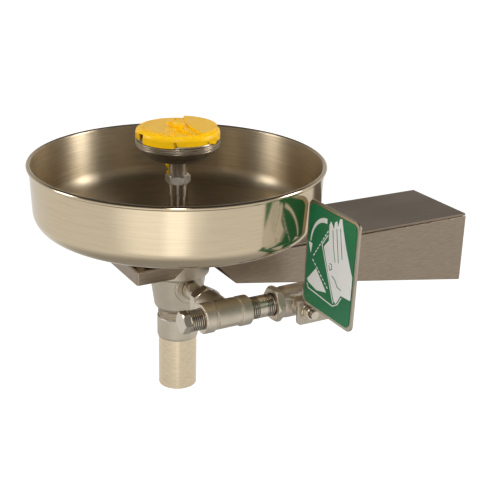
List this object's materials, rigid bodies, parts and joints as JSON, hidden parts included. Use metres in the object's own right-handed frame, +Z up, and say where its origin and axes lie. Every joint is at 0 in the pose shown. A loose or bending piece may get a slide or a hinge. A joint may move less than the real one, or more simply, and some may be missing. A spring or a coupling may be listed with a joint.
{
  "type": "eyewash station",
  "caption": "Wall-mounted eyewash: round steel bowl on a folded arm, covered spray head on a centre stem, in-line strainer and ball valve worked by a push flag.",
  "frame": {"origin": "centre of the wall plate's back face, on the wall", "axes": "+Y into the wall, +Z up, +X to the right of a user who faces the wall; the bowl stands out towards -Y"},
  "size_m": [0.336, 0.465, 0.2695],
  "materials": {
    "brushed_steel": "lengthwise brushed inside, polished outside",
    "satin_steel": "satin sheet with a fine brushed grain",
    "cast_steel": "bead-blasted investment casting",
    "machined_steel": "machined, bright",
    "dark_chrome": "bright plated",
    "yellow_plastic": "moulded, slightly glossy",
    "green_label": "printed film with a white pictogram",
    "black_plastic": "moulded, semi-matt",
    "black_rubber": "matt",
    "white_plastic": "moulded, matt"
  },
  "bodies": {
    "station": {"arm_cover": "satin_steel", "arm_gusset_left": "satin_steel", "arm_gusset_right": "satin_steel", "arm_plate": "satin_steel", "bowl": "brushed_steel", "bowl_gasket": "black_rubber", "bowl_rest_nut_left": "machined_steel", "bowl_rest_nut_right": "machined_steel", "bowl_rest_screw_left": "machined_steel", "bowl_rest_screw_right": "machined_steel", "cover_screw_left": "machined_steel", "cover_screw_right": "machined_steel", "cover_strap": "yellow_plastic", "drain_strainer": "machined_steel", "flow_control": "black_plastic", "gland_nut": "machined_steel", "head_ring": "dark_chrome", "head_shell": "black_plastic", "port_bushing": "machined_steel", "port_nipple": "machined_steel", "spray_plate": "white_plastic", "spray_screen": "machined_steel", "stem_collar": "dark_chrome", "stem_nut": "dark_chrome", "stem_packing": "white_plastic", "stem_pipe": "dark_chrome", "strainer_body": "cast_steel", "strainer_plug": "machined_steel", "strainer_screen": "machined_steel", "tail_nut": "cast_steel", "tail_washer": "white_plastic", "tailpiece": "machined_steel", "valve_body": "cast_steel", "valve_end": "cast_steel", "valve_nipple": "machined_steel", "valve_seat_back": "white_plastic", "valve_seat_front": "white_plastic", "wall_plate": "satin_steel", "waste_body": "cast_steel"},
    "flag": {"push_flag": "machined_steel", "flag_label": "green_label", "flag_nut": "machined_steel", "flag_washer": "machined_steel", "valve_stem": "machined_steel", "valve_ball": "machined_steel"},
    "cover": {"dust_cover": "yellow_plastic"}
  },
  "joints": [
    {"name": "flag_push", "type": "hinge", "parent": "station", "child": "flag", "pos_m": [0.117, -0.2477, 0.004], "axis": [-1, 0, 0], "range_deg": [0, 90]},
    {"name": "cover_flip", "type": "hinge", "parent": "station", "child": "cover", "pos_m": [-0.0423, -0.324, 0.1491], "axis": [0, -1, 0], "range_deg": [0, 150]}
  ]
}
